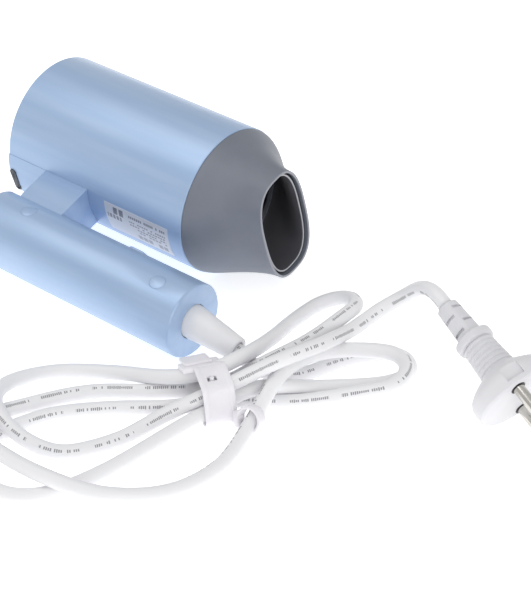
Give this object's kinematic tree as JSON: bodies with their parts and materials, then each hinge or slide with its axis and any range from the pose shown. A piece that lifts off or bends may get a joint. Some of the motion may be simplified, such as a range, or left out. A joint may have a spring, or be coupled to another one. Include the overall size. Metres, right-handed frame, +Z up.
{
  "type": "hair dryer",
  "caption": "Folding travel hair dryer with a round pearl barrel, a turnable oblong concentrator nozzle, a hinged round handle and a tied mains cord with a moulded plug.",
  "frame": {"origin": "on the table, under the middle of the folded dryer without its cord", "axes": "+X along the barrel towards the nozzle, +Z up; the dryer lies folded on its side"},
  "size_m": [0.2796, 0.2077, 0.066],
  "materials": {
    "pearl_blue": "pearl satin, light blue",
    "nozzle_grey": "satin mid grey",
    "duct_grey": "satin dark grey",
    "grille_grey": "satin dark grey",
    "steel": "bright",
    "motor_can": "zinc plated",
    "nickel": "nickel plated",
    "white_pvc": "soft white PVC",
    "tie_plastic": "soft white plastic",
    "black_plastic": "satin black",
    "white_nylon": "moulded nylon",
    "capacitor_yellow": "epoxy",
    "wire_red": "insulated wire",
    "filter_mesh": "woven mesh",
    "board_green": "circuit board",
    "mica": "pressed mica",
    "heater_wire": "nickel-chromium wire",
    "brass": "stamped",
    "fuse_metal": "plated",
    "label_white": "printed film"
  },
  "bodies": {
    "handle": {"handle_upper": "pearl_blue", "handle_lower": "pearl_blue", "hinge_pin": "steel", "hinge_washers": "steel", "hinge_caps": "pearl_blue", "screw_plug": "pearl_blue", "handle_screw": "steel", "switch_body": "black_plastic", "noise_capacitor": "capacitor_yellow", "core_wires": "wire_red", "cord_clamp": "white_nylon", "clamp_screws": "steel", "strain_relief": "white_pvc", "power_cord": "white_pvc", "cord_tie": "tie_plastic", "plug_body": "white_pvc", "plug_pins": "nickel", "pin_collars": "black_plastic"},
    "barrel": {"barrel_tube": "pearl_blue", "neck": "pearl_blue", "rear_grille": "grille_grey", "intake_filter": "filter_mesh", "motor_holder": "white_nylon", "motor": "motor_can", "rectifier_board": "board_green", "heater_liner": "mica", "mica_boards": "mica", "heater_coils": "heater_wire", "thermostat": "brass", "thermal_fuse": "fuse_metal", "outlet_grille": "duct_grey", "rating_label": "label_white"},
    "fan": {"motor_shaft": "steel", "fan_impeller": "white_nylon"},
    "nozzle": {"nozzle_collar": "nozzle_grey", "nozzle_duct": "duct_grey", "nozzle_shell": "nozzle_grey"},
    "switch": {"switch_knob": "pearl_blue"}
  },
  "joints": [
    {"name": "barrel_fold", "type": "hinge", "parent": "handle", "child": "barrel", "pos_m": [-0.0275, -0.03371, 0.0175], "axis": [0, -0.2715, 0.9624], "range_deg": [0, 90]},
    {"name": "fan_spin", "type": "hinge", "parent": "barrel", "child": "fan", "pos_m": [0, 0.02124, 0.033], "axis": [1, 0, 0], "continuous": true},
    {"name": "nozzle_turn", "type": "hinge", "parent": "barrel", "child": "nozzle", "pos_m": [0, 0.02124, 0.033], "axis": [1, 0, 0], "continuous": true},
    {"name": "switch_slide", "type": "slide", "parent": "handle", "child": "switch", "axis": [-1, 0, 0], "range_m": [0, 0.006]}
  ]
}
